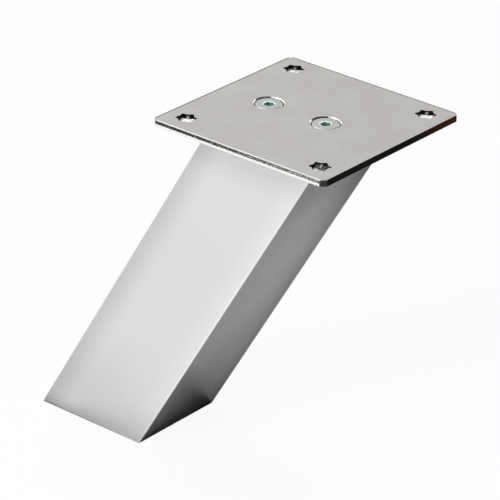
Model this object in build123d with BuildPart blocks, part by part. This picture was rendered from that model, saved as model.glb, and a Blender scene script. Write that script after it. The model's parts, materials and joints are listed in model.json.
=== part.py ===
from build123d import *

import os
from math import cos, pi, radians, sin, sqrt, tan

# Angled countertop support leg: a square tube that leans under a flat mounting plate.
# Millimetres, +Z up. The origin is the middle of the plate's upper face, which seats against the
# underside of the countertop. The leg leans towards -X on its way down.

# Whole leg
overall_height = 170
leg_slant = 30  # degrees from upright

# Mounting plate, blanked from steel sheet
plate_side = 90
plate_thickness = 3
plate_corner_cut = 2  # along each side, where the corners are clipped
upper_rim_radius = 0.45  # rolled over by the blanking
lower_rim_radius = 0.2

# Star holes, for the wood screws into the countertop
star_edge = 10  # from the plate's edges to the middle of the star
star_tips = 6
star_tip_radius = 4.8
star_root_radius = 3.5
star_rounding = 0.35

# Leg tube, extruded aluminium
tube_width = 50
tube_wall = 2.5
tube_edge_radius = 0.4

# Inserts, slices of square bar bonded into both ends of the tube
insert_depth = 17
insert_clearance = 0.05
insert_corner_radius = 1
screw_edge = 6  # from a screw's axis to the nearest end of the insert

# Countersunk hex socket screws
thread_diameter = 6
thread_clearance = 0.05
screw_length = 16
head_diameter = 11.6
head_land = 0.5  # straight side of the head, above its cone
head_sink = 0.35  # top of the head below the plate's upper face
head_edge_break = 0.25
tip_chamfer = 0.8
hex_width = 4
hex_depth = 2.3
hex_mouth = 0.3  # bevel of the socket's mouth, outside the hexagon's corners
hex_cone_angle = 120  # of that bevel and of the socket's floor
hex_turn = 24  # degrees, how the sockets stand after tightening

# Seats of the screws
countersink_angle = 90
screw_hole_clearance = 0.3
insert_countersink_relief = 0.4

# The leg's lean, and the length that a level cut gives to each size across the leg
lean = tan(radians(leg_slant))
level_stretch = 1 / cos(radians(leg_slant))

# The leg's ends, level planes that look out of the tube, and its square section between them
tube_height = overall_height - plate_thickness
foot_centre = Vector(-lean * tube_height, 0, -overall_height)
top_end = Plane(origin=(0, 0, -plate_thickness))
foot_end = Plane(origin=foot_centre, x_dir=(-1, 0, 0), z_dir=(0, 0, -1))
leg_section = Plane(
    origin=(top_end.origin + foot_end.origin) / 2,
    x_dir=(cos(radians(leg_slant)), 0, -sin(radians(leg_slant))),
    z_dir=(sin(radians(leg_slant)), 0, cos(radians(leg_slant))),
)
bar_reach = tube_height * level_stretch / 2 + tube_width  # half a bar, past both level cuts

# The upright screws stand midway along the depth of the leaning insert
tube_bore = tube_width - 2 * tube_wall
insert_width = tube_bore - 2 * insert_clearance
screw_offset = lean * insert_depth / 2
screw_spacing = insert_width * level_stretch - lean * insert_depth - 2 * screw_edge

# The head's cone lies in the plate's countersink, and ends in that of the insert
cone_slope = tan(radians(countersink_angle / 2))
countersink_radius = head_diameter / 2 + (head_land + head_sink) * cone_slope
cone_radius_at_insert = countersink_radius - plate_thickness * cone_slope
insert_mouth_radius = max(cone_radius_at_insert, thread_diameter / 2) + insert_countersink_relief

os.makedirs("parts", exist_ok=True)


def save(piece, name):
    """Labels a finished piece and writes it to its own file."""
    piece.part.label = name
    export_step(piece.part, f"parts/{name}.step")


# Outline of a star hole, with one tip along Y
with BuildSketch() as star:
    with BuildLine():
        corners = []
        for step in range(2 * star_tips):
            reach = star_root_radius if step % 2 else star_tip_radius
            turn = pi / 2 + step * pi / star_tips
            corners.append((reach * cos(turn), reach * sin(turn)))
        Polyline(*corners, close=True)
    make_face()
    fillet(star.vertices(), star_rounding)

# Mounting plate
with BuildPart() as mounting_plate:
    with BuildSketch(top_end) as blank:
        Rectangle(plate_side, plate_side)
        chamfer(blank.vertices(), plate_corner_cut)
    extrude(amount=plate_thickness)
    fillet(mounting_plate.faces().sort_by(Axis.Z)[-1].edges(), upper_rim_radius)
    fillet(mounting_plate.faces().sort_by(Axis.Z)[0].edges(), lower_rim_radius)
    star_spacing = plate_side - 2 * star_edge
    with BuildSketch(top_end):
        with GridLocations(star_spacing, star_spacing, 2, 2):
            add(star.sketch)
    extrude(amount=plate_thickness, mode=Mode.SUBTRACT)
    with Locations((-screw_offset, 0)):
        with GridLocations(screw_spacing, 0, 2, 1):
            CounterSinkHole(
                radius=thread_diameter / 2 + screw_hole_clearance,
                counter_sink_radius=countersink_radius,
                counter_sink_angle=countersink_angle,
            )
save(mounting_plate, "mounting_plate")

# Leg tube, sawn level at both ends
with BuildPart() as leg_tube:
    with BuildSketch(leg_section):
        RectangleRounded(tube_width, tube_width, tube_edge_radius)
        Rectangle(tube_bore, tube_bore, mode=Mode.SUBTRACT)
    extrude(amount=bar_reach, both=True)
    split(bisect_by=top_end, keep=Keep.BOTTOM)
    split(bisect_by=foot_end, keep=Keep.BOTTOM)
save(leg_tube, "leg_tube")


def make_insert(end):
    """A slice of bar, flush with one end of the tube and tapped through for two screws."""
    with BuildPart() as insert:
        with BuildSketch(leg_section):
            RectangleRounded(insert_width, insert_width, insert_corner_radius)
        extrude(amount=bar_reach, both=True)
        split(bisect_by=end, keep=Keep.BOTTOM)
        split(bisect_by=end.offset(-insert_depth), keep=Keep.TOP)
        with Locations(end):
            with Locations((-screw_offset, 0)):
                with GridLocations(screw_spacing, 0, 2, 1):
                    CounterSinkHole(
                        radius=thread_diameter / 2,
                        counter_sink_radius=insert_mouth_radius,
                        counter_sink_angle=countersink_angle,
                    )
    return insert


# Inserts: the same slice at both ends, turned over at the foot
save(make_insert(top_end), "top_insert")
save(make_insert(foot_end), "foot_insert")


def make_screw(axis_x):
    """A countersunk hex socket screw, seated in the plate with its axis at axis_x."""
    head_top = Plane(origin=(axis_x, 0, -head_sink))
    half_section = Plane(origin=head_top.origin, x_dir=(1, 0, 0), z_dir=(0, -1, 0))
    head_radius = head_diameter / 2
    shank_radius = thread_diameter / 2 - thread_clearance
    cone_height = (head_radius - shank_radius) / cone_slope
    hex_corner = hex_width / sqrt(3)
    mouth_radius = hex_corner + hex_mouth
    floor_radius = hex_width / 2
    hex_slope = tan(radians(hex_cone_angle / 2))
    point_down = (Align.CENTER, Align.CENTER, Align.MAX)
    with BuildPart() as screw:
        with BuildSketch(half_section):
            with BuildLine():
                Polyline(
                    (0, 0),
                    (head_radius - head_edge_break, 0),
                    (head_radius, -head_edge_break),
                    (head_radius, -head_land),
                    (shank_radius, -head_land - cone_height),
                    (shank_radius, tip_chamfer - screw_length),
                    (shank_radius - tip_chamfer, -screw_length),
                    (0, -screw_length),
                    close=True,
                )
            make_face()
        revolve(axis=Axis(head_top.origin, (0, 0, 1)))
        with BuildSketch(head_top):
            RegularPolygon(hex_corner, 6, rotation=hex_turn)
        extrude(amount=-hex_depth, mode=Mode.SUBTRACT)
        with Locations(head_top):
            Cone(0, mouth_radius, mouth_radius / hex_slope, align=point_down, mode=Mode.SUBTRACT)
        with Locations(head_top.offset(-hex_depth)):
            Cone(0, floor_radius, floor_radius / hex_slope, align=point_down, mode=Mode.SUBTRACT)
    return screw


# Plate screws, one on each side of the insert's middle
for number, side in enumerate((-1, 1), start=1):
    save(make_screw(-screw_offset + side * screw_spacing / 2), f"plate_screw_{number}")
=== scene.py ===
import json
import math
from types import SimpleNamespace

import bmesh
import bpy
from mathutils import Matrix, Vector


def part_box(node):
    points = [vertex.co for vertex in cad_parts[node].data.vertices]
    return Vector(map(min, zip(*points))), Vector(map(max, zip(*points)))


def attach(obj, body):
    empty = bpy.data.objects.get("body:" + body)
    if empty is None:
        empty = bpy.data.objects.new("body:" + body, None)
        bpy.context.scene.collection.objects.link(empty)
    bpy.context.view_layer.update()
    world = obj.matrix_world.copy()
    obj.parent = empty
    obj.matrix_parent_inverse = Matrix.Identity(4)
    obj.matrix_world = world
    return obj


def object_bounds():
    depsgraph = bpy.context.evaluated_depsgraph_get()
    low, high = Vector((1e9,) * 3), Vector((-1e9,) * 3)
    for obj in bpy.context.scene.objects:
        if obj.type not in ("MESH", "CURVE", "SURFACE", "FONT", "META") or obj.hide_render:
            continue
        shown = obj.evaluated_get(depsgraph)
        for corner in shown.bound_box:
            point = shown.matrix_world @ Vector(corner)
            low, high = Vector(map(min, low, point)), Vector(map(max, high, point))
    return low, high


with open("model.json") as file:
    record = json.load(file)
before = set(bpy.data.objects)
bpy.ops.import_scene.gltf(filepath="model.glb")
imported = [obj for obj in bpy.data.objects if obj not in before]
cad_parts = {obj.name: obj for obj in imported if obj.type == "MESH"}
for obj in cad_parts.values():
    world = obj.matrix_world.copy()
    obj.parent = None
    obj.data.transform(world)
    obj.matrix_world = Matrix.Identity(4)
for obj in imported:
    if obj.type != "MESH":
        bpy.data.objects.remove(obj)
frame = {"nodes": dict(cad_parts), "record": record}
cad_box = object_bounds()


def node_box(name):
    """Lowest and highest corner of a CAD node, in millimetres."""
    return [1000 * Vector(corner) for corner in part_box(name)]


def node_middle(name):
    """Middle of a CAD node's box, in millimetres."""
    low, high = node_box(name)
    return (low + high) / 2


# Sizes that the finishes follow, in millimetres, in the part's own frame
plate_low, plate_high = node_box("mounting_plate")
PLATE_EDGE = plate_high.x
PLATE_THICKNESS = plate_high.z - plate_low.z
CORNER_CUT = 2
CORNER_LINE = 2 * PLATE_EDGE - CORNER_CUT  # sum of x and y along a clipped corner
COUNTERSINK_RADIUS = 6.65
STAR_MIDDLE = PLATE_EDGE - 10  # of the star holes, off the plate's middle both ways
STAR_ROOT = 3.5
LEG_SLANT = 30  # degrees from upright
TUBE_WIDTH = 50
LEG_MIDDLE = PLATE_THICKNESS * math.sin(math.radians(LEG_SLANT))  # off the origin, across the leg
FOOT_LEVEL = node_box("leg_tube")[0].z
FIRST_SCREW = node_middle("plate_screw_1").x
SECOND_SCREW = node_middle("plate_screw_2").x
SCREW_SPACING = SECOND_SCREW - FIRST_SCREW
BETWEEN_SCREWS = (FIRST_SCREW + SECOND_SCREW) / 2
HEAD_TOP = node_box("plate_screw_1")[1].z
HEAD_RADIUS = 5.8
HEX_CORNER = 4 / math.sqrt(3)

# Threads of the tapped holes in the foot
foot_threads = next(mount for mount in frame["record"]["mounts"] if mount["name"] == "foot_threads")
THREAD_PITCH = 1
THREAD_TURNS = 15
THREAD_HEIGHT = 0.5  # of the ridge, inwards from the bore
THREAD_PROFILE = ((-0.44, 0), (-0.07, 1), (0.07, 1), (0.44, 0))  # rise per pitch, and share of the height
THREAD_BITE = 0.02  # of the ridge, into the wall of the bore
THREAD_START = 0.2  # share of the height at both ends
THREAD_GROWTH = 2  # of that share, per turn
TURN_STEPS = 48

# Bands of the plate's walls, as levels below its upper face
TEAR_TOP = -0.30
TEAR_FOOT = -1.72
TEAR_SOFT = 0.06  # half the width over which a tear begins or ends
HOLE_TEAR = -2.1
HOLE_TEAR_SOFT = 0.08
GROOVE_SHADE_LEVELS = (-0.60, -0.30)  # in the countersinks, from painted shade deep in the groove to none

# Bands along the plate's edges
HIGHLIGHT_EDGE_BAND = (-PLATE_EDGE + 0.35, -PLATE_EDGE + 0.60)  # along Y, where the painted highlight line fades out
PAINTED_DARK_RIMS = (PLATE_EDGE - 1.3, PLATE_EDGE - 0.6)  # towards -X and +Y, where the painted dark reflection lines fade in
OUTER_BAND = (PLATE_EDGE - 3.5, PLATE_EDGE - 2.5)  # between the star holes and the outer edges

# Marks on the plate
PIT_SCALE = 0.22
PIT_CHANCE = 0.55  # share of the cells whose pit is only a speck
PIT_SIZE = 0.07  # of the largest, in cells
PLATE_CLOUD_SCALE = 0.06
SCRATCH_TURN = 0.6  # radians, of the scratches from X
SCRATCH_SCALE = (0.07, 2.6, 2.6)
GRAIN_SCALE = (0.35, 2.4, 2.4)
CRUMB_SCALE = 1.4
BURNISH_SCALE = (3.0, 3.0, 0.3)

# Tones of the plate, as red, green and blue
PLATING_TONES = ((0.499, 0.478, 0.457), (0.523, 0.520, 0.492))
SCRATCH_TONE = (0.30, 0.29, 0.27)
# darker and browner towards +X and +Y
FAR_CORNER_TONE = (0.28, 0.26, 0.22)
GRAIN_TONE = (0.42, 0.41, 0.39)
PIT_TONE = (0.16, 0.15, 0.14)
# a painted highlight along the -Y edge
EDGE_HIGHLIGHT_TONE = (0.76, 0.76, 0.74)
# painted dark reflections along the -X and +Y edges
DARK_RIM_REFLECTION_TONE = (0.10, 0.10, 0.09)
TORN_TONE = (0.014, 0.0135, 0.0115)
SHEARED_TONE = (0.060, 0.058, 0.050)
RUST_TONE = (0.095, 0.034, 0.015)
# a painted olive shade in one star hole
STAR_SHADE_TONE = (0.26, 0.25, 0.20)
# crumbs of bright metal, and a painted highlight on the ridges of the star holes
CRUMB_AND_HIGHLIGHT_TONE = (0.60, 0.58, 0.54)
BURNISHED_TONES = ((0.90, 0.89, 0.87), (1.0, 0.99, 0.97))
COUNTERSINK_TONE = (0.95, 0.95, 0.94)
# painted shade in the groove round each screw head
GROOVE_SHADE_TONE = (0.030, 0.030, 0.026)

# How strongly each mark shows on the plate's flat faces
SCRATCH_SHARE = 0.25
FAR_CORNER_SHARE = 0.07
GRAIN_SHARE = 0.10
PIT_SHARE = 0.5

# Zones of the leg along its section's diagonals, which end on the long edges, for its painted shade and
# painted highlights
EDGE_SHADE_SPAN = (TUBE_WIDTH - 13, TUBE_WIDTH)  # painted shade, dark beside two opposite edges
CORNER_SPAN = (TUBE_WIDTH - 30, TUBE_WIDTH)  # beside the same edges, more painted shade close under the plate
EDGE_HIGHLIGHT_SPAN = (TUBE_WIDTH - 12, TUBE_WIDTH)  # painted highlight, pale beside the other two
ARRIS_SPAN = (TUBE_WIDTH - 1.0, TUBE_WIDTH - 0.6)  # a painted highlight on those two edges themselves

# Zones of the leg across its faces, off their middle, for its painted highlights and painted shade
MIDDLE_HIGHLIGHT_SPAN = (4, 22)
LOW_SHADE_SPAN = (-10, 20)
FOOT_LINE_SPAN = (0, 18)
FOOT_CORNER_SPAN = (8, 24)

# Zones of the leg by height, as levels below the plate's upper face, for its painted highlights and painted
# shade
MIDDLE_HIGHLIGHT_LEVELS = (-130, -90)
ARRIS_LEVELS = (-100, -20)
FRONT_SHADE_LEVELS = (-30, -15)
CORNER_SHADE_LEVELS = (-70, -24)
SIDE_SHADE_LEVELS = (-45, -20)
LOW_SHADE_LEVELS = (FOOT_LEVEL + 12, FOOT_LEVEL + 55)
FOOT_LEVELS = (FOOT_LEVEL, FOOT_LEVEL + 9)
FOOT_LINE_LEVELS = (FOOT_LEVEL + 0.3, FOOT_LEVEL + 0.7)
FOOT_SHADE_LEVELS = (FOOT_LEVEL + 2, FOOT_LEVEL + 30)

# Marks on the leg and on the inserts
LEG_CLOUD_SCALE = 0.03
FINE_SCALE = (5.0, 5.0, 0.05)
COARSE_SCALE = (0.7, 0.7, 0.012)
SAW_SCALE = (2.5, 0.04, 1.0)
INSERT_SAW_SCALE = (1.6, 0.03, 1.0)
DRAWN_SCALE = (2.0, 2.0, 0.05)

# How strongly each mark and zone shows on the leg
FINE_SHARE = 0.16
COARSE_SHARE = 0.10
# The rest of this list is painted shade and painted highlights
EDGE_SHADE_SHARE = 0.37
EDGE_HIGHLIGHT_SHARE = 0.30
MIDDLE_HIGHLIGHT_SHARE = 0.45
ARRIS_TOP_SHARE = 0.4
LOW_SHADE_SHARES = (0.13, 0.01)  # from one side of the front faces to the other
FOOT_SHARES = (0.10, 0.30)  # off the painted shade beside two edges, and on it
FOOT_LINE_SHARE = 0.35
FRONT_SHADE_SHARE = 0.15
SIDE_SHADE_SHARE = 0.2
CORNER_SHADE_SHARES = (0.08, 0.38)
FOOT_CORNER_SHARE = 0.32

# Tones of the leg, as levels of grey, and of the sawn and drawn aluminium
LEG_GREYS = (0.78, 0.82)
FINE_GREY = 0.62
COARSE_GREY = 0.68
# greys of the painted shade beside two edges, and of all the other painted shade on the leg
EDGE_SHADE_GREY = 0.38
SHADE_GREY = 0.03
SAWN_TONES = ((0.50, 0.50, 0.51), (0.74, 0.74, 0.75))
INSERT_SAWN_TONES = ((0.46, 0.46, 0.47), (0.70, 0.70, 0.71))
DRAWN_TONES = ((0.52, 0.52, 0.53), (0.66, 0.66, 0.67))

# Tones of the screws, and their marks
BLUE_ZINC_TONES = ((0.41, 0.44, 0.43), (0.48, 0.51, 0.50))
YELLOW_ZINC_TONES = ((0.44, 0.44, 0.415), (0.51, 0.51, 0.48))
# painted highlights on the edge of each head and round the mouth of each socket
HEAD_EDGE_HIGHLIGHT_TONE = (0.90, 0.92, 0.92)
MOUTH_HIGHLIGHT_TONE = (0.74, 0.86, 0.83)
SOCKET_TONE = (0.45, 0.57, 0.52)
TURNED_PITCH = 0.3  # of the rings on the heads
ZINC_CLOUD_SCALE = 0.5

# How rough the metals are, each from its smoother to its rougher places
PLATE_ROUGHNESS = (0.30, 0.40)
COUNTERSINK_ROUGHNESS = 0.16
TORN_ROUGHNESS = 0.58
LEG_ROUGHNESS = (0.27, 0.37)
SAWN_ROUGHNESS = 0.08  # more than that, on the leg's ends
INSERT_ROUGHNESS = (0.32, 0.48)
ZINC_ROUGHNESS = (0.22, 0.32)

# Plain white, for the stage and for the painted highlights on the leg
WHITE = (1, 1, 1)

# Depths of the relief, in metres
GRAIN_DEPTH = 0.000004
PIT_DEPTH = 0.00003
TEAR_DEPTH = 0.00012
BRUSH_DEPTH = 0.000006
SAW_DEPTH = 0.00004
RING_DEPTH = 0.000003

# The stage, in metres
WORLD_LIGHT = 0.02
FLOOR_SIDE = 12
FLOOR_GAP = 0.0001  # below the foot
FLOOR_TONE = 0.85
FLOOR_WHITE = 0.94  # share of plain white to the camera, and the rest keeps the shadow
FLOOR_FADE = (0.4, 1.2)  # from the middle, where the floor turns white in the metal
PANEL_GLOW = 1.8

# The camera, at the photograph's viewing angle
CAMERA_PLACE = Vector((0.73095, -0.93804, 0.52507))
CAMERA_AZIMUTH = 38.97
CAMERA_ELEVATION = 26.28
CAMERA_ROLL = 1.59
CAMERA_LENS = 227.64
SENSOR_WIDTH = 36


def grey(level):
    """A neutral colour."""
    return (level, level, level)


class Graph:
    """One node tree, to which nodes are added with their inputs already set or linked."""

    def __init__(self, tree):
        self.tree = tree
        self.tree.nodes.clear()

    def node(self, kind, inputs=None, **settings):
        """A new node with the inputs and settings that are given."""
        made = self.tree.nodes.new("ShaderNode" + kind)
        for name, value in settings.items():
            setattr(made, name, value)
        for name, value in (inputs or {}).items():
            self.feed(made.inputs[name], value)
        return made

    def feed(self, socket, value):
        """Links a socket, or sets it. A colour is given as red, green and blue."""
        if isinstance(value, bpy.types.NodeSocket):
            self.tree.links.new(value, socket)
        elif socket.type == "RGBA":
            socket.default_value = (*value, 1)
        else:
            socket.default_value = value

    def math(self, operation, *values):
        return self.node("Math", dict(enumerate(values)), operation=operation).outputs[0]

    def chain(self, operation, values):
        """Joins two or more values by one operation."""
        result, *others = values
        for value in others:
            result = self.math(operation, result, value)
        return result

    def times(self, *values):
        return self.chain("MULTIPLY", values)

    def plus(self, *values):
        return self.chain("ADD", values)

    def most(self, *values):
        return self.chain("MAXIMUM", values)

    def minus(self, first, second):
        return self.math("SUBTRACT", first, second)

    def other(self, share):
        """What a share leaves of 1."""
        return self.minus(1.0, share)

    def size(self, value):
        return self.math("ABSOLUTE", value)

    def mix(self, factor, first, second):
        """Blends two colours."""
        return self.node("Mix", {0: factor, 6: first, 7: second}, data_type="RGBA").outputs[2]

    def choose(self, factor, first, second):
        """Blends two plain values."""
        return self.node("Mix", {0: factor, 2: first, 3: second}, data_type="FLOAT").outputs[0]

    def between(self, value, low, high, out_low=0.0, out_high=1.0):
        """Carries a value from one range smoothly into another, and holds it there."""
        inputs = {"Value": value, "From Min": low, "From Max": high, "To Min": out_low, "To Max": out_high}
        return self.node("MapRange", inputs, interpolation_type="SMOOTHSTEP").outputs[0]

    def falling(self, value, low, high, start=1.0):
        """Falls smoothly to 0 as a value goes from low to high."""
        return self.between(value, low, high, start, 0.0)

    def noise(self, place, scale, detail=2.0, roughness=0.5):
        inputs = {"Vector": place, "Scale": scale, "Detail": detail, "Roughness": roughness}
        return self.node("TexNoise", inputs).outputs["Fac"]

    def stretch(self, place, scale):
        """Scales coordinates, each axis by its own factor."""
        return self.node("Mapping", {"Vector": place, "Scale": scale}).outputs[0]

    def turn(self, place, angles):
        """Turns coordinates about the axes, by angles in radians."""
        return self.node("Mapping", {"Vector": place, "Rotation": angles}).outputs[0]

    def streaks(self, place, scale, detail, roughness=0.5):
        """Noise that is drawn out along the axes of small scale."""
        return self.noise(self.stretch(place, scale), 1.0, detail, roughness)

    def split(self, vector):
        """The three parts of a vector."""
        return self.node("SeparateXYZ", {0: vector}).outputs

    def length(self, x, y):
        """Length of a vector in two parts."""
        squares = self.math("MULTIPLY_ADD", x, x, self.times(y, y))
        return self.math("SQRT", squares)

    def facing(self):
        """How far the surface faces along each axis, whichever way."""
        parts = self.split(self.node("NewGeometry").outputs["Normal"])
        return [self.size(part) for part in parts]

    def bump(self, height, depth, normal=None):
        """Raises the surface by a height from 0 to 1, times a depth in metres."""
        inputs = {"Height": height, "Distance": depth, "Strength": 1.0}
        if normal is not None:
            inputs["Normal"] = normal
        return self.node("Bump", inputs).outputs[0]


def new_material(name):
    """An empty material and its graph."""
    material = bpy.data.materials.new(name)
    material.use_nodes = True
    return material, Graph(material.node_tree)


def metal(name):
    """An empty metal: its material, its graph, its shader and the millimetre coordinates of the part."""
    material, graph = new_material(name)
    shader = graph.node("BsdfPrincipled", {"Metallic": 1.0})
    graph.node("OutputMaterial", {"Surface": shader.outputs[0]})
    place = graph.node("TexCoord").outputs["Object"]
    return material, graph, shader, graph.stretch(place, (1000, 1000, 1000))


def from_screw(graph, place):
    """Distance from the axis of the nearer plate screw."""
    x, y, _ = graph.split(place)
    across = graph.minus(x, FIRST_SCREW)
    across = graph.math("WRAP", across, SCREW_SPACING / 2, -SCREW_SPACING / 2)
    return graph.length(across, y)


def from_star(graph, place):
    """Distances from the middle of the nearest star hole: along Y and straight."""
    x, y, _ = graph.split(place)
    across = graph.minus(graph.size(x), STAR_MIDDLE)
    along = graph.math("WRAP", graph.minus(y, STAR_MIDDLE), STAR_MIDDLE, -STAR_MIDDLE)
    return along, graph.length(across, along)


def plate_pits(graph, place):
    """A few small pits in the plating, from 0 to 1."""
    cells = graph.node("TexVoronoi", {"Vector": place, "Scale": PIT_SCALE}).outputs
    chance = graph.node("SeparateColor", {0: cells["Color"]}).outputs[0]
    size = graph.between(chance, PIT_CHANCE, 1.0, 0.0, PIT_SIZE)
    return graph.falling(graph.minus(cells["Distance"], size), -0.01, 0.03)


def plate_flats(graph, place, grain, pits):
    """Tone of the plate's flat faces: clouds, a rolled grain, pits, darker towards +X and +Y, a painted
    highlight along one edge and painted dark reflections along two.
    """
    x, y, _ = graph.split(place)
    clouds = graph.between(graph.noise(place, PLATE_CLOUD_SCALE, 3), 0.3, 0.7)
    tone = graph.mix(clouds, *PLATING_TONES)
    across_grain = graph.turn(place, (0, 0, SCRATCH_TURN))
    scratches = graph.between(graph.streaks(across_grain, SCRATCH_SCALE, 2), 0.68, 0.74)
    tone = graph.mix(graph.times(scratches, SCRATCH_SHARE), tone, SCRATCH_TONE)
    # Darker and browner towards +X and +Y
    far_corner_shift = graph.between(graph.plus(x, y), -PLATE_EDGE, PLATE_EDGE, 0.0, FAR_CORNER_SHARE)
    tone = graph.mix(far_corner_shift, tone, FAR_CORNER_TONE)
    tone = graph.mix(graph.times(grain, GRAIN_SHARE), tone, GRAIN_TONE)
    tone = graph.mix(graph.times(pits, PIT_SHARE), tone, PIT_TONE)
    # A painted highlight along the -Y edge
    painted_edge_highlight = graph.falling(y, *HIGHLIGHT_EDGE_BAND)
    tone = graph.mix(painted_edge_highlight, tone, EDGE_HIGHLIGHT_TONE)
    # Painted dark reflections along the -X and +Y edges
    far_edge_reach = graph.most(graph.times(x, -1.0), y)
    dark = graph.between(far_edge_reach, *PAINTED_DARK_RIMS)
    return graph.mix(dark, tone, DARK_RIM_REFLECTION_TONE)


def outer_edges(graph, place, level):
    """Where the plate's outer edges are torn, and which of that is an edge facing along X, painted near black
    as a painted dark reflection, or a clipped corner.
    """
    x, y, _ = graph.split(place)
    side_facing, front_facing, _ = graph.facing()
    below_rim = graph.falling(level, TEAR_TOP - TEAR_SOFT, TEAR_TOP + TEAR_SOFT)
    above_burnish = graph.between(level, TEAR_FOOT - TEAR_SOFT, TEAR_FOOT + TEAR_SOFT)
    sheared = graph.times(below_rim, above_burnish)
    painted_dark_sides = graph.times(graph.between(side_facing, 0.15, 0.40), graph.falling(front_facing, 0.3, 0.5))
    corner_reach = graph.plus(graph.size(x), graph.size(y))
    clipped = graph.between(corner_reach, CORNER_LINE - 0.5, CORNER_LINE - 0.2)
    clipped = graph.times(clipped, graph.between(x, -1.0, 1.0, 0.4, 1.0))
    return graph.most(sheared, graph.most(painted_dark_sides, clipped)), painted_dark_sides, clipped


def punched_holes(graph, place):
    """Where the star holes are torn, almost to their foot, and the part of one that is painted dark right
    through, a painted shade.
    """
    x, y, z = graph.split(place)
    # The part of one star hole that is painted dark right through, a painted shade
    shaded_star = graph.between(graph.minus(x, y), STAR_MIDDLE, PLATE_EDGE)
    shaded_star = graph.times(shaded_star, graph.between(graph.plus(x, y), -2.4, -1.2))
    hole_tear = graph.choose(shaded_star, HOLE_TEAR, -PLATE_THICKNESS)
    return graph.between(graph.minus(z, hole_tear), -HOLE_TEAR_SOFT, HOLE_TEAR_SOFT), shaded_star


def star_ridge_highlights(graph, place, level, crumbs):
    """Where a highlight is painted on the ridges of the star holes."""
    along, radius = from_star(graph, place)
    ridges = graph.falling(radius, STAR_ROOT + 0.08, STAR_ROOT + 0.32)
    ridges = graph.times(ridges, graph.between(along, 2.3, 2.6))
    upper, lower = graph.falling(level, -0.9, -0.4), graph.between(level, HOLE_TEAR - 0.1, HOLE_TEAR + 0.1)
    return graph.times(ridges, upper, lower, graph.between(crumbs, 0.38, 0.52))


def plate_walls(graph, place, outer, crumbs):
    """Tone of the plate's upright walls, and how far each place on them is torn."""
    x, y, z = graph.split(place)
    level = graph.plus(z, graph.between(graph.noise(place, 0.8, 3), 0.3, 0.7, -0.12, 0.12))
    edges, painted_dark_sides, clipped = outer_edges(graph, place, level)
    punched, shaded_star = punched_holes(graph, place)
    torn = graph.choose(outer, punched, edges)

    # What still shines in the torn metal: crumbs, more of them at one end; and a painted highlight on the
    # ridges of the star holes
    broken = graph.plus(crumbs, graph.between(x, -PLATE_EDGE, PLATE_EDGE, -0.05, 0.07))
    whole = graph.most(painted_dark_sides, graph.times(clipped, 0.88))
    crumbs_and_highlights = graph.times(graph.between(broken, 0.50, 0.64), graph.other(whole))
    crumbs_and_highlights = graph.choose(outer, star_ridge_highlights(graph, place, level, crumbs), crumbs_and_highlights)

    # The torn metal itself: dark, paler where it is sheared, near black on the edges facing along X as a
    # painted dark reflection, rusty at one end, and a painted olive shade in one star hole
    dark = graph.mix(graph.times(outer, graph.other(whole)), TORN_TONE, SHEARED_TONE)
    rust = graph.times(outer, painted_dark_sides, graph.between(y, 10, PLATE_EDGE))
    dark = graph.mix(rust, dark, RUST_TONE)
    # Painted olive shade high in that part of the star hole
    star_shade = graph.times(shaded_star, graph.falling(level, -1.2, -0.8), graph.other(outer))
    dark = graph.mix(graph.times(star_shade, graph.between(crumbs, 0.42, 0.58)), dark, STAR_SHADE_TONE)
    torn_tone = graph.mix(crumbs_and_highlights, dark, CRUMB_AND_HIGHLIGHT_TONE)
    burnished = graph.mix(graph.streaks(place, BURNISH_SCALE, 2), *BURNISHED_TONES)
    return graph.mix(torn, burnished, torn_tone), torn


def countersinks(graph, place, level_facing):
    """Where the countersinks are, and their tone: bright, with painted shade deep in the groove round the
    head.
    """
    radius = from_screw(graph, place)
    sunk = graph.falling(radius, COUNTERSINK_RADIUS + 0.2, COUNTERSINK_RADIUS + 0.4)
    turned = graph.times(sunk, graph.falling(level_facing, 0.75, 0.90))
    # Painted shade deep in the groove round the head
    unshaded = graph.between(graph.split(place)[2], *GROOVE_SHADE_LEVELS)
    return turned, graph.mix(unshaded, GROOVE_SHADE_TONE, COUNTERSINK_TONE)


def plated_steel():
    """Satin bright plating on blanked sheet, with its cut edges, punched holes and turned countersinks."""
    material, graph, shader, place = metal("plated_steel")
    x, y, _ = graph.split(place)
    side_facing, _, level_facing = graph.facing()
    grain = graph.streaks(place, GRAIN_SCALE, 3)
    pits = plate_pits(graph, place)
    crumbs = graph.noise(place, CRUMB_SCALE, 4, 0.7)

    # The outer edges, the upright walls with the rims of the two edges facing along X, which share their
    # painted dark reflection, and the countersinks
    outer = graph.between(graph.most(graph.size(x), graph.size(y)), *OUTER_BAND)
    painted_dark_side_rims = graph.times(outer, graph.between(side_facing, 0.45, 0.70))
    upright = graph.most(graph.falling(level_facing, 0.20, 0.45), painted_dark_side_rims)
    turned, turned_tone = countersinks(graph, place, level_facing)

    walls, torn = plate_walls(graph, place, outer, crumbs)
    torn = graph.times(torn, upright)
    tone = graph.mix(turned, plate_flats(graph, place, grain, pits), turned_tone)
    graph.feed(shader.inputs["Base Color"], graph.mix(upright, tone, walls))

    # The burnished feet of the star holes are almost plain white, and mirror less than the rest
    inner = graph.times(graph.other(outer), graph.minus(upright, torn))
    graph.feed(shader.inputs["Metallic"], graph.choose(inner, 1.0, 0.2))

    satin = graph.between(grain, 0.25, 0.75, *PLATE_ROUGHNESS)
    satin = graph.choose(turned, satin, COUNTERSINK_ROUGHNESS)
    graph.feed(shader.inputs["Roughness"], graph.choose(torn, satin, TORN_ROUGHNESS))
    relief = graph.bump(grain, GRAIN_DEPTH)
    relief = graph.bump(graph.times(pits, -1.0), PIT_DEPTH, relief)
    relief = graph.bump(graph.times(crumbs, torn), TEAR_DEPTH, relief)
    graph.feed(shader.inputs["Normal"], relief)
    return material


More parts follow.
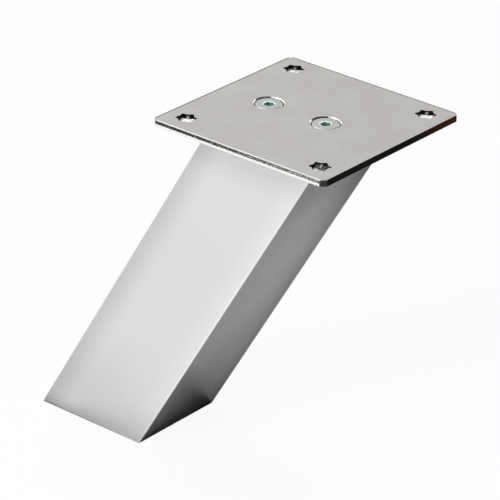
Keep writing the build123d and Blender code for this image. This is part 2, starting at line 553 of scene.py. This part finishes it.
def leg_zones(graph, place, along_leg):
    """Where a place is on the leg: across it, its height, its face, and its reach along both diagonals.

    Each diagonal of the leg's section ends on two opposite long edges.
    """
    across, width, _ = graph.split(along_leg)
    across = graph.minus(across, LEG_MIDDLE)
    side_facing, front_facing, level_facing = graph.facing()
    shade_reach = graph.size(graph.plus(across, width))
    return SimpleNamespace(
        across=across,
        from_middle=graph.size(width),
        height=graph.split(place)[2],
        side=graph.between(side_facing, 0.3, 0.7),
        front=graph.between(front_facing, 0.3, 0.7),
        sawn=graph.between(level_facing, 0.9, 0.97),
        shade_reach=shade_reach,
        highlight_reach=graph.size(graph.minus(across, width)),
        # painted shade beside two opposite edges
        seam=graph.between(shade_reach, *EDGE_SHADE_SPAN),
    )


def lighten_leg(graph, zone, tone):
    """Painted highlights, set to the photograph's tones: pale zones beside two long edges, on those edges,
    and in the middle of the leaning faces.
    """
    painted_edge_highlight = graph.times(graph.between(zone.highlight_reach, *EDGE_HIGHLIGHT_SPAN), zone.front)
    middle_highlight = graph.falling(zone.from_middle, *MIDDLE_HIGHLIGHT_SPAN, MIDDLE_HIGHLIGHT_SHARE)
    middle_highlight = graph.times(zone.side, graph.times(middle_highlight, graph.between(zone.height, *MIDDLE_HIGHLIGHT_LEVELS)))
    arris_highlight = graph.between(zone.highlight_reach, *ARRIS_SPAN)
    arris_highlight = graph.times(arris_highlight, graph.between(zone.height, *ARRIS_LEVELS, 1.0, ARRIS_TOP_SHARE))
    tone = graph.mix(graph.math("MULTIPLY_ADD", painted_edge_highlight, EDGE_HIGHLIGHT_SHARE, middle_highlight), tone, WHITE)
    return graph.mix(arris_highlight, tone, WHITE)


def darken_leg(graph, zone, tone):
    """Painted shade, set to the photograph's tones: broad darker zones towards the foot, a painted shadow
    line along its edge, and darker close under the plate.
    """
    height = zone.height
    # Painted shade towards the foot, and a painted shadow line along its edge
    low_shade_share = graph.between(zone.across, *LOW_SHADE_SPAN, *LOW_SHADE_SHARES)
    low_shade_share = graph.choose(zone.front, LOW_SHADE_SHARES[0], low_shade_share)
    low_shade = graph.falling(height, *LOW_SHADE_LEVELS, low_shade_share)
    foot = graph.falling(height, *FOOT_LEVELS, graph.choose(zone.seam, *FOOT_SHARES))
    foot_line_shade = graph.falling(height, *FOOT_LINE_LEVELS)
    foot_line_shade = graph.times(foot_line_shade, graph.falling(zone.across, *FOOT_LINE_SPAN, FOOT_LINE_SHARE))
    # Painted shade at the foot of the leaning faces
    foot_corner = graph.between(zone.from_middle, *FOOT_CORNER_SPAN, 0.0, FOOT_CORNER_SHARE)
    foot_shade = graph.times(zone.side, graph.falling(height, *FOOT_SHADE_LEVELS, foot_corner))

    # Painted shade close under the plate
    front_shade = graph.between(height, *FRONT_SHADE_LEVELS, 0.0, FRONT_SHADE_SHARE)
    front_shade = graph.times(zone.front, front_shade)
    corner = graph.between(zone.shade_reach, *CORNER_SPAN, *CORNER_SHADE_SHARES)
    side_shade = graph.between(height, *CORNER_SHADE_LEVELS, 0.0, corner)
    side_shade = graph.plus(side_shade, graph.between(height, *SIDE_SHADE_LEVELS, 0.0, SIDE_SHADE_SHARE))
    side_shade = graph.times(zone.side, side_shade)

    painted_shade = graph.plus(graph.plus(low_shade, foot), graph.plus(front_shade, side_shade))
    painted_shade = graph.plus(painted_shade, graph.plus(foot_shade, foot_line_shade))
    return graph.mix(painted_shade, tone, grey(SHADE_GREY))


def satin_aluminium():
    """Fine brushing along the leg, broad painted highlights and painted shade, and saw marks on its level
    ends.
    """
    material, graph, shader, place = metal("satin_aluminium")
    along_leg = graph.turn(place, (0, math.radians(-LEG_SLANT), 0))
    zone = leg_zones(graph, place, along_leg)

    fine = graph.streaks(along_leg, FINE_SCALE, 3, 0.6)
    coarse = graph.streaks(along_leg, COARSE_SCALE, 3)
    tone = graph.mix(graph.noise(place, LEG_CLOUD_SCALE, 2), *map(grey, LEG_GREYS))
    tone = graph.mix(graph.times(fine, FINE_SHARE), tone, grey(FINE_GREY))
    tone = graph.mix(graph.times(coarse, COARSE_SHARE), tone, grey(COARSE_GREY))
    # Painted shade beside two opposite edges, then the other painted highlights and painted shade
    tone = graph.mix(graph.times(zone.seam, EDGE_SHADE_SHARE), tone, grey(EDGE_SHADE_GREY))
    tone = darken_leg(graph, zone, lighten_leg(graph, zone, tone))

    marks = graph.streaks(place, SAW_SCALE, 2)
    raw = graph.mix(marks, *SAWN_TONES)
    graph.feed(shader.inputs["Base Color"], graph.mix(zone.sawn, tone, raw))

    satin = graph.between(fine, 0.25, 0.75, *LEG_ROUGHNESS)
    satin = graph.math("MULTIPLY_ADD", zone.sawn, SAWN_ROUGHNESS, satin)
    graph.feed(shader.inputs["Roughness"], satin)
    lines = graph.bump(fine, BRUSH_DEPTH)
    lines = graph.bump(graph.times(marks, zone.sawn), SAW_DEPTH, lines)
    graph.feed(shader.inputs["Normal"], lines)
    return material


def insert_aluminium():
    """Sawn bar: straight saw marks on the ends, drawn lines on the sides."""
    material, graph, shader, place = metal("insert_aluminium")
    sawn = graph.between(graph.facing()[2], 0.9, 0.97)
    marks = graph.streaks(place, INSERT_SAW_SCALE, 3)
    sides = graph.mix(graph.streaks(place, DRAWN_SCALE, 3), *DRAWN_TONES)
    ends = graph.mix(marks, *INSERT_SAWN_TONES)
    graph.feed(shader.inputs["Base Color"], graph.mix(sawn, sides, ends))
    graph.feed(shader.inputs["Roughness"], graph.between(marks, 0.2, 0.8, *INSERT_ROUGHNESS))
    graph.feed(shader.inputs["Normal"], graph.bump(graph.times(marks, sawn), SAW_DEPTH))
    return material


def zinc_plated_screw():
    """Passivated zinc, bluer on the first screw: turned rings on the head, painted highlights on its edge and
    mouth, painted shade in the groove, and a teal socket.
    """
    material, graph, shader, place = metal("zinc_plated_screw")
    x, _, height = graph.split(place)
    radius = from_screw(graph, place)
    clouds = graph.noise(place, ZINC_CLOUD_SCALE, 3)

    # The head: a painted highlight on its edge with painted shade outside it, in the groove, and a painted
    # highlight on the mouth round the socket
    blue, yellow = graph.mix(clouds, *BLUE_ZINC_TONES), graph.mix(clouds, *YELLOW_ZINC_TONES)
    tone = graph.mix(graph.math("GREATER_THAN", x, BETWEEN_SCREWS), blue, yellow)
    rim_highlight = graph.between(radius, HEAD_RADIUS - 0.30, HEAD_RADIUS - 0.22)
    groove_shade = graph.between(radius, HEAD_RADIUS - 0.12, HEAD_RADIUS - 0.04)
    tone = graph.mix(rim_highlight, tone, graph.mix(groove_shade, HEAD_EDGE_HIGHLIGHT_TONE, GROOVE_SHADE_TONE))
    mouth_highlight = graph.falling(radius, HEX_CORNER + 0.35, HEX_CORNER + 0.6)
    tone = graph.mix(mouth_highlight, tone, MOUTH_HIGHLIGHT_TONE)

    # The socket, whose light and dark walls come from reflections alone
    upright = graph.falling(graph.facing()[2], 0.3, 0.6)
    sunk = graph.most(upright, graph.between(graph.minus(HEAD_TOP, height), 0.6, 0.8))
    socket = graph.times(sunk, graph.falling(radius, HEX_CORNER + 0.25, HEX_CORNER + 0.35))
    graph.feed(shader.inputs["Base Color"], graph.mix(socket, tone, SOCKET_TONE))

    rings = graph.math("SINE", graph.times(radius, 2 * math.pi / TURNED_PITCH))
    graph.feed(shader.inputs["Roughness"], graph.between(clouds, 0.3, 0.7, *ZINC_ROUGHNESS))
    graph.feed(shader.inputs["Normal"], graph.bump(rings, RING_DEPTH))
    return material


def thread_rings(shell, axis_x):
    """Corners of the thread's profile, step by step along its helix, up from the plane where it starts."""
    bore = foot_threads["dims"]["hole_r_mm"] + THREAD_BITE
    start = 1000 * foot_threads["pos_m"][2] + THREAD_PITCH / 2
    rings = []
    for step in range(THREAD_TURNS * TURN_STEPS + 1):
        turn = step / TURN_STEPS
        nearest_end = min(turn, THREAD_TURNS - turn)
        run_out = min(1.0, THREAD_START + THREAD_GROWTH * nearest_end)
        ring = []
        for rise, share in THREAD_PROFILE:
            radius = bore - share * run_out * (THREAD_HEIGHT + THREAD_BITE)
            x = axis_x + radius * math.cos(2 * math.pi * turn)
            y = radius * math.sin(2 * math.pi * turn)
            z = start + (turn + rise) * THREAD_PITCH
            ring.append(shell.verts.new(Vector((x, y, z)) / 1000))
        rings.append(ring)
    return rings


def make_thread(name, axis_x, finish):
    """The helical ridge in one tapped hole of the foot."""
    shell = bmesh.new()
    rings = thread_rings(shell, axis_x)
    corners = len(THREAD_PROFILE)
    for ring, following in zip(rings, rings[1:]):
        for first in range(corners):
            second = (first + 1) % corners
            shell.faces.new((ring[first], ring[second], following[second], following[first]))
    shell.faces.new(rings[0])
    shell.faces.new(rings[-1])
    bmesh.ops.recalc_face_normals(shell, faces=shell.faces)
    mesh = bpy.data.meshes.new(name)
    shell.to_mesh(mesh)
    shell.free()
    mesh.materials.append(finish)
    thread = bpy.data.objects.new(name, mesh)
    bpy.context.scene.collection.objects.link(thread)
    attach(thread, "root")


def dress():
    """Gives each piece of the part its finish, and the foot its threads."""
    plate, tube, insert, screw = plated_steel(), satin_aluminium(), insert_aluminium(), zinc_plated_screw()
    finishes = {
        "mounting_plate": plate,
        "leg_tube": tube,
        "top_insert": insert,
        "foot_insert": insert,
        "plate_screw_1": screw,
        "plate_screw_2": screw,
    }
    for name, finish in finishes.items():
        piece = frame["nodes"][name]
        piece.data.materials.clear()
        piece.data.materials.append(finish)
    for number, side in enumerate((-1, 1), start=1):
        axis_x = 1000 * foot_threads["pos_m"][0] + side * foot_threads["dims"]["spacing_x_mm"] / 2
        make_thread(f"foot_thread_{number}", axis_x, insert)


def seen_white(graph, by_camera, by_metal):
    """How white a surface of the stage is for the camera, for glass and in metal. This lights nothing."""
    rays = graph.node("LightPath").outputs
    looks = graph.most(rays["Is Camera Ray"], rays["Is Transmission Ray"])
    looks = graph.times(looks, by_camera)
    gloss = graph.times(rays["Is Glossy Ray"], by_metal)
    direct = graph.math("LESS_THAN", rays["Diffuse Depth"], 0.5)
    return graph.times(graph.most(looks, gloss), direct)


def blend(graph, share, first, second):
    """Blends two shaders."""
    return graph.node("MixShader", {0: share, 1: first.outputs[0], 2: second.outputs[0]}).outputs[0]


def make_world():
    """White to look at, and a soft plain light from all round."""
    world = bpy.data.worlds.new("studio")
    bpy.context.scene.world = world
    world.use_nodes = True
    world.cycles.sampling_method = "NONE"
    graph = Graph(world.node_tree)
    light = graph.node("Background", {"Color": WHITE, "Strength": WORLD_LIGHT})
    white = graph.node("Background", {"Color": WHITE, "Strength": 1.0})
    graph.node("OutputWorld", {"Surface": blend(graph, seen_white(graph, 1.0, 1.0), light, white)})


def add_plane(name, width, height, place, facing, turn=0):
    """A flat sheet of the stage, with its middle at a place and its front to a point, turned by degrees."""
    mesh = bpy.data.meshes.new(name)
    x, y = width / 2, height / 2
    mesh.from_pydata([(-x, -y, 0), (x, -y, 0), (x, y, 0), (-x, y, 0)], [], [(0, 1, 2, 3)])
    sheet = bpy.data.objects.new(name, mesh)
    bpy.context.scene.collection.objects.link(sheet)
    direction = Vector(facing) - Vector(place)
    looking = direction.to_track_quat("Z", "Y").to_matrix().to_4x4()
    turned = Matrix.Rotation(math.radians(turn), 4, "Z")
    sheet.matrix_world = Matrix.Translation(place) @ looking @ turned
    return sheet


def make_floor():
    """A plain pale floor, white to the camera, that keeps the shadow of the part."""
    low = cad_box[0].z - FLOOR_GAP
    floor = add_plane("floor", FLOOR_SIDE, FLOOR_SIDE, (0, 0, low), (0, 0, low + 1))
    material, graph = new_material("floor")
    material.cycles.emission_sampling = "NONE"
    pale = graph.node("BsdfDiffuse", {"Color": grey(FLOOR_TONE)})
    white = graph.node("Emission", {"Color": WHITE, "Strength": 1.0})
    place = graph.node("TexCoord").outputs["Object"]
    reach = graph.node("VectorMath", {0: place}, operation="LENGTH").outputs["Value"]
    far_off = graph.between(reach, *FLOOR_FADE)
    surface = blend(graph, seen_white(graph, FLOOR_WHITE, far_off), pale, white)
    graph.node("OutputMaterial", {"Surface": surface})
    floor.data.materials.append(material)


def for_reflections_only(sheet):
    """Leaves a sheet to be seen in metal, where it neither lights nor shades anything."""
    sheet.visible_camera = False
    sheet.visible_diffuse = False
    sheet.visible_shadow = False
    sheet.visible_transmission = False


def add_card(name, width, height, place, facing, tone, turn=0):
    """A plain card, dark or grey, that only the reflections in the metal show."""
    card = add_plane(name, width, height, place, facing, turn)
    material, graph = new_material(name)
    paper = graph.node("BsdfDiffuse", {"Color": grey(tone)})
    graph.node("OutputMaterial", {"Surface": paper.outputs[0]})
    card.data.materials.append(material)
    for_reflections_only(card)


def make_cards():
    """Cards for the metal to reflect: a flag beside the leg, two above the plate, a sheet on the floor."""
    low = cad_box[0].z
    plate = (0, 0, 0)
    add_card("dark_flag", 0.5, 0.17, place=(0.139, 0.169, low / 2), facing=(0, 0, low / 2), tone=0.15)
    add_card("high_flag", 0.64, 0.14, place=(0.230, 0.194, 0.335), facing=plate, tone=0.03, turn=38)
    add_card("roof_flag", 0.26, 0.13, place=(0.140, -0.126, 0.407), facing=plate, tone=0.03)
    add_card("grey_sheet", 0.6, 0.6, place=(0.233, 0.275, low), facing=(0.233, 0.275, low + 1), tone=0.40)


def make_panel():
    """A bright panel, high on the left in front of the part, for the highlights on its metal."""
    panel = add_plane("bright_panel", 0.45, 0.45, place=(-0.57, -0.45, 0.70), facing=(0, 0, 0))
    material, graph = new_material("bright_panel")
    material.cycles.emission_sampling = "NONE"
    glow = graph.node("Emission", {"Color": WHITE, "Strength": PANEL_GLOW})
    clear = graph.node("BsdfTransparent")
    graph.node("OutputMaterial", {"Surface": blend(graph, seen_white(graph, 1.0, 1.0), clear, glow)})
    panel.data.materials.append(material)
    for_reflections_only(panel)


def add_lamp(name, size, energy, toward, distance):
    """A square soft lamp that shines on the part from a direction. The metal doesn't show the lamp itself."""
    light = bpy.data.lights.new(name, "AREA")
    light.shape = "SQUARE"
    light.size = size
    light.energy = energy
    lamp = bpy.data.objects.new(name, light)
    bpy.context.scene.collection.objects.link(lamp)
    direction = Vector(toward).normalized()
    lamp.location = (cad_box[0] + cad_box[1]) / 2 + direction * distance
    lamp.rotation_euler = direction.to_track_quat("Z", "Y").to_euler()
    lamp.visible_glossy = False


def make_lamps():
    """A key lamp in front, and a soft lamp overhead."""
    add_lamp("key", size=1.0, energy=56, toward=(0.0, -0.8, 0.6), distance=2.5)
    add_lamp("top", size=1.0, energy=16, toward=(-0.05, 0.15, 1.0), distance=1.6)


def make_camera():
    """The camera, turned by azimuth, elevation and roll, with no shift."""
    lens = bpy.data.cameras.new("camera")
    lens.lens = CAMERA_LENS
    lens.sensor_width = SENSOR_WIDTH
    lens.clip_start = 0.05
    lens.clip_end = 50
    camera = bpy.data.objects.new("camera", lens)
    bpy.context.scene.collection.objects.link(camera)
    upright = Matrix.Rotation(math.radians(90 - CAMERA_ELEVATION), 4, "X")
    turned = Matrix.Rotation(math.radians(CAMERA_AZIMUTH), 4, "Z")
    rolled = Matrix.Rotation(math.radians(CAMERA_ROLL), 4, "Z")
    camera.matrix_world = Matrix.Translation(CAMERA_PLACE) @ turned @ upright @ rolled
    bpy.context.scene.camera = camera


bpy.context.scene.view_settings.view_transform = "Standard"
dress()
make_world()
make_floor()
make_cards()
make_panel()
make_lamps()
make_camera()
